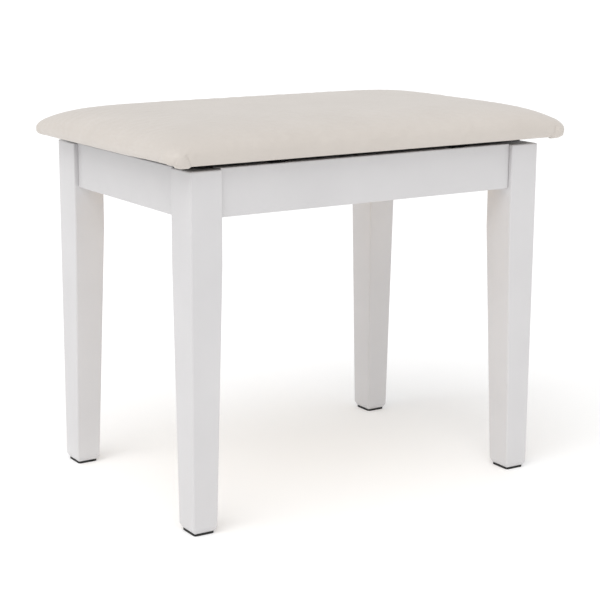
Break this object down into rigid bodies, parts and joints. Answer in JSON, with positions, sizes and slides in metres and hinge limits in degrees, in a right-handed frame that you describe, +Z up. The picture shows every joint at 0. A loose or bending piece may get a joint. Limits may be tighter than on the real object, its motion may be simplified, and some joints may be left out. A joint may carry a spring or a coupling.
{
  "type": "piano bench",
  "caption": "Wooden bench with tapered square legs, slim rails and a crowned padded seat that lifts on rear hinges over a shallow compartment.",
  "frame": {"origin": "on the floor under the middle of the seat", "axes": "+X along the seat's long side, -Y towards the front where the lid opens, +Z up"},
  "size_m": [0.5924, 0.3836, 0.4907],
  "materials": {
    "white_paint": "satin white paint on solid wood",
    "bare_wood": "sawn, unfinished",
    "plywood": "sanded plywood",
    "black_board": "matte black stained board",
    "foam": "open-cell upholstery foam",
    "leatherette": "matte warm off-white leatherette with a fine grain",
    "black_rubber": "matte black",
    "steel": "zinc-plated"
  },
  "bodies": {
    "frame": {"bumper_back_left": "black_rubber", "bumper_back_right": "black_rubber", "bumper_front_left": "black_rubber", "bumper_front_right": "black_rubber", "compartment_floor": "plywood", "corner_block_back_left": "bare_wood", "corner_block_back_right": "bare_wood", "corner_block_front_left": "bare_wood", "corner_block_front_right": "bare_wood", "corner_bolt_back_left": "steel", "corner_bolt_back_right": "steel", "corner_bolt_front_left": "steel", "corner_bolt_front_right": "steel", "glide_back_left": "black_rubber", "glide_back_right": "black_rubber", "glide_front_left": "black_rubber", "glide_front_right": "black_rubber", "hinge_fixed_leaf_left": "steel", "hinge_fixed_leaf_right": "steel", "hinge_rail_screw_left_inner": "steel", "hinge_rail_screw_left_outer": "steel", "hinge_rail_screw_right_inner": "steel", "hinge_rail_screw_right_outer": "steel", "leg_back_left": "white_paint", "leg_back_right": "white_paint", "leg_front_left": "white_paint", "leg_front_right": "white_paint", "rail_back": "white_paint", "rail_front": "white_paint", "rail_left": "white_paint", "rail_right": "white_paint", "stay_pivot_screw": "steel", "stay_spacer": "steel", "washer_back_left": "steel", "washer_back_right": "steel", "washer_front_left": "steel", "washer_front_right": "steel"},
    "lid": {"hinge_lid_screw_left_inner": "steel", "hinge_lid_screw_left_outer": "steel", "hinge_lid_screw_right_inner": "steel", "hinge_lid_screw_right_outer": "steel", "hinge_moving_leaf_left": "steel", "hinge_moving_leaf_right": "steel", "hinge_pin_left": "steel", "hinge_pin_right": "steel", "lid_base_board": "black_board", "lid_screw_back_left": "steel", "lid_screw_back_right": "steel", "lid_screw_front_left": "steel", "lid_screw_front_right": "steel", "seat_board": "black_board", "seat_cover": "leatherette", "seat_foam": "foam", "stay_track": "steel", "stay_track_screw_back": "steel", "stay_track_screw_front": "steel"},
    "stay_arm": {"stay_arm": "steel", "stay_slide_pin": "steel"}
  },
  "joints": [
    {"name": "lid_hinge", "type": "hinge", "parent": "frame", "child": "lid", "pos_m": [-0.004, 0.1808, 0.4397], "axis": [-1, 0, 0], "range_deg": [0, 72]},
    {"name": "stay_pivot", "type": "hinge", "parent": "frame", "child": "stay_arm", "pos_m": [0.2273, 0.06126, 0.42924], "axis": [-1, 0, 0], "range_deg": [0, 144]}
  ],
  "couplings": [
    {"joint": "stay_pivot", "follows": "lid_hinge", "ratio": 2}
  ]
}
